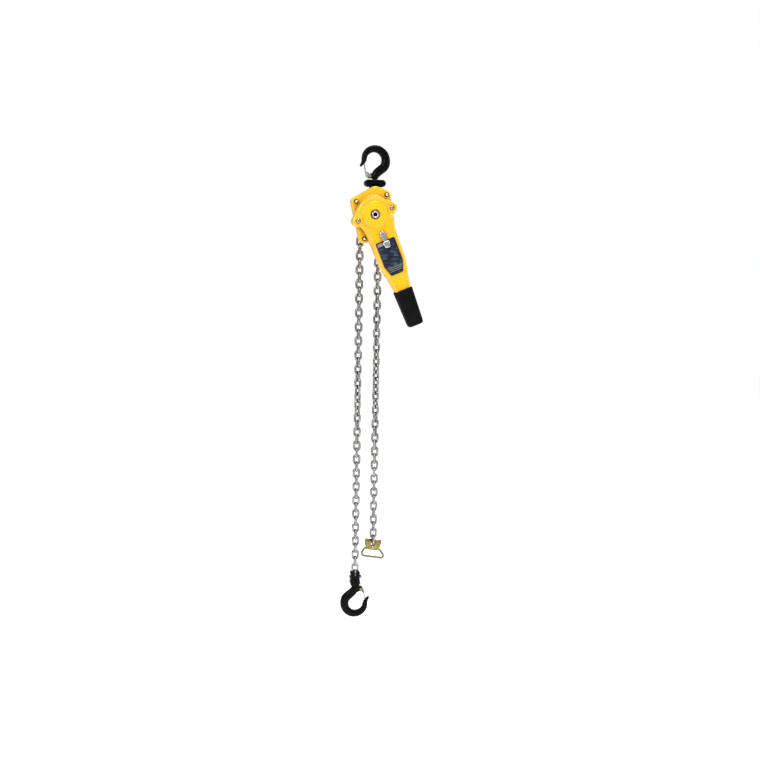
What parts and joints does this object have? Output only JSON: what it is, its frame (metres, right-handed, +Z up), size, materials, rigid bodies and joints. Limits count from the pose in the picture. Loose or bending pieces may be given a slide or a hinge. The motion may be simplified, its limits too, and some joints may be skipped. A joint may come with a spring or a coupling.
{
  "type": "lever chain hoist",
  "caption": "Hand-operated lever chain hoist with swivelling top and bottom hooks, load chain, tail chain with stop ring and a ratchet lever.",
  "frame": {"origin": "middle of the top hook's saddle, where the hoist hangs", "axes": "+Z up, +X to the right seen from the lever side, -Y towards the lever side"},
  "size_m": [0.1884, 0.1405, 1.2158],
  "materials": {
    "yellow_paint": "glossy yellow enamel",
    "black_paint": "gloss black enamel on a forging",
    "grip_rubber": "matt moulded rubber",
    "chain_zinc": "zinc plated, slightly dull",
    "bright_plate": "bright nickel plate",
    "steel": "machined steel",
    "dark_steel": "blackened steel",
    "yellow_zinc": "yellow zinc passivate",
    "lining": "pressed friction lining",
    "plate_blue": "dark blue printed plate, blank"
  },
  "bodies": {
    "frame": {"front_side_plate": "dark_steel", "rear_side_plate": "dark_steel", "frame_stay_1": "steel", "frame_stay_2": "steel", "frame_stay_3": "steel", "frame_stay_4": "steel", "suspension_pin": "steel", "front_bearing": "steel", "rear_bearing": "steel", "gear_cover": "yellow_paint", "brake_cover": "yellow_paint", "cover_bolt_1": "bright_plate", "cover_bolt_2": "bright_plate", "cover_bolt_3": "bright_plate", "cover_bolt_4": "bright_plate", "left_pawl_pin": "steel", "right_pawl_pin": "steel"},
    "top_yoke_body": {"top_yoke": "black_paint"},
    "top_hook_body": {"top_hook": "black_paint", "top_hook_nut": "steel", "top_latch_pin": "steel"},
    "top_latch_body": {"top_hook_latch": "bright_plate"},
    "lever": {"lever_front_shell": "yellow_paint", "lever_back_plate": "yellow_paint", "left_lever_screw": "dark_steel", "right_lever_screw": "dark_steel", "rubber_grip": "grip_rubber", "name_plate": "plate_blue"},
    "selector": {"selector_lever": "bright_plate", "change_pawl": "steel"},
    "drive_shaft": {"pinion_shaft": "steel", "brake_seat": "steel", "rear_brake_lining": "lining", "ratchet_disc": "steel", "front_brake_lining": "lining", "change_gear": "steel"},
    "sheave": {"load_sheave": "steel", "load_gear": "steel", "wrapped_chain": "chain_zinc"},
    "upper_gear": {"upper_intermediate_gear": "steel"},
    "lower_gear": {"lower_intermediate_gear": "steel"},
    "left_pawl": {"left_brake_pawl": "steel"},
    "right_pawl": {"right_brake_pawl": "steel"},
    "load_run": {"load_chain": "chain_zinc", "bottom_yoke_left": "black_paint", "bottom_yoke_right": "black_paint", "front_yoke_rivet": "dark_steel", "rear_yoke_rivet": "dark_steel", "chain_pin": "dark_steel", "chain_pin_clip": "steel"},
    "bottom_hook_body": {"bottom_hook": "black_paint", "bottom_hook_nut": "steel", "bottom_latch_pin": "steel"},
    "bottom_latch_body": {"bottom_hook_latch": "bright_plate"},
    "tail_run": {"tail_chain": "chain_zinc", "tail_stop_pin": "yellow_zinc"},
    "tail_clasp": {"tail_stop_clasp": "yellow_zinc", "tail_stop_rivet": "bright_plate"},
    "tail_ring": {"tail_stop_ring": "yellow_zinc"}
  },
  "joints": [
    {"name": "yoke_tilt", "type": "hinge", "parent": "frame", "child": "top_yoke_body", "pos_m": [0.003, 0, -0.102], "axis": [0, 1, 0], "range_deg": [-12, 12]},
    {"name": "top_hook_swivel", "type": "hinge", "parent": "top_yoke_body", "child": "top_hook_body", "pos_m": [0.003, 0, -0.076], "axis": [0, 0, 1], "continuous": true},
    {"name": "top_latch", "type": "hinge", "parent": "top_hook_body", "child": "top_latch_body", "pos_m": [-0.012, 0, -0.0585], "axis": [0, 1, 0], "range_deg": [0, 38]},
    {"name": "lever_swing", "type": "hinge", "parent": "frame", "child": "lever", "pos_m": [-0.009, 0, -0.156], "axis": [0, 1, 0], "continuous": true},
    {"name": "selector_turn", "type": "hinge", "parent": "lever", "child": "selector", "pos_m": [0.01042, 0, -0.20359], "axis": [0, 1, 0], "range_deg": [-25, 25]},
    {"name": "load_chain_travel", "type": "slide", "parent": "frame", "child": "load_run", "axis": [0, 0, 1], "range_m": [-0.036, 0.015]},
    {"name": "sheave_spin", "type": "hinge", "parent": "frame", "child": "sheave", "pos_m": [-0.009, 0, -0.156], "axis": [0, 1, 0], "range_deg": [-90.5, 38]},
    {"name": "tail_chain_travel", "type": "slide", "parent": "frame", "child": "tail_run", "axis": [0, 0, 1], "range_m": [-0.0151, 0.0361]},
    {"name": "shaft_spin", "type": "hinge", "parent": "frame", "child": "drive_shaft", "pos_m": [-0.009, 0, -0.156], "axis": [0, 1, 0], "range_deg": [-452, 189]},
    {"name": "upper_gear_spin", "type": "hinge", "parent": "frame", "child": "upper_gear", "pos_m": [-0.009, 0, -0.136], "axis": [0, 1, 0], "range_deg": [-75.6, 181]},
    {"name": "lower_gear_spin", "type": "hinge", "parent": "frame", "child": "lower_gear", "pos_m": [-0.009, 0, -0.176], "axis": [0, 1, 0], "range_deg": [-75.6, 181]},
    {"name": "left_pawl_click", "type": "hinge", "parent": "frame", "child": "left_pawl", "pos_m": [-0.0432, 0, -0.12993], "axis": [0, 1, 0], "range_deg": [0, 8]},
    {"name": "right_pawl_click", "type": "hinge", "parent": "frame", "child": "right_pawl", "pos_m": [0.02351, 0, -0.18415], "axis": [0, 1, 0], "range_deg": [0, 8]},
    {"name": "bottom_hook_swivel", "type": "hinge", "parent": "load_run", "child": "bottom_hook_body", "pos_m": [-0.03252, 0, -1.114], "axis": [0, 0, 1], "continuous": true},
    {"name": "bottom_latch", "type": "hinge", "parent": "bottom_hook_body", "child": "bottom_latch_body", "pos_m": [-0.01752, 0, -1.1215], "axis": [0, 1, 0], "range_deg": [0, 38]},
    {"name": "tail_clasp_swing", "type": "hinge", "parent": "tail_run", "child": "tail_clasp", "pos_m": [0.01452, 0, -0.9972], "axis": [0.9863, 0, -0.165], "range_deg": [-10, 10]},
    {"name": "tail_ring_swing", "type": "hinge", "parent": "tail_clasp", "child": "tail_ring", "pos_m": [0.01158, 0, -1.01476], "axis": [0.9863, 0, -0.165], "range_deg": [-35, 35]}
  ],
  "couplings": [
    {"joint": "sheave_spin", "follows": "load_chain_travel", "rad_per_m": 43.633},
    {"joint": "tail_chain_travel", "follows": "load_chain_travel", "ratio": -1},
    {"joint": "shaft_spin", "follows": "load_chain_travel", "rad_per_m": 218.17},
    {"joint": "upper_gear_spin", "follows": "load_chain_travel", "rad_per_m": -87.266},
    {"joint": "lower_gear_spin", "follows": "load_chain_travel", "rad_per_m": -87.266}
  ]
}
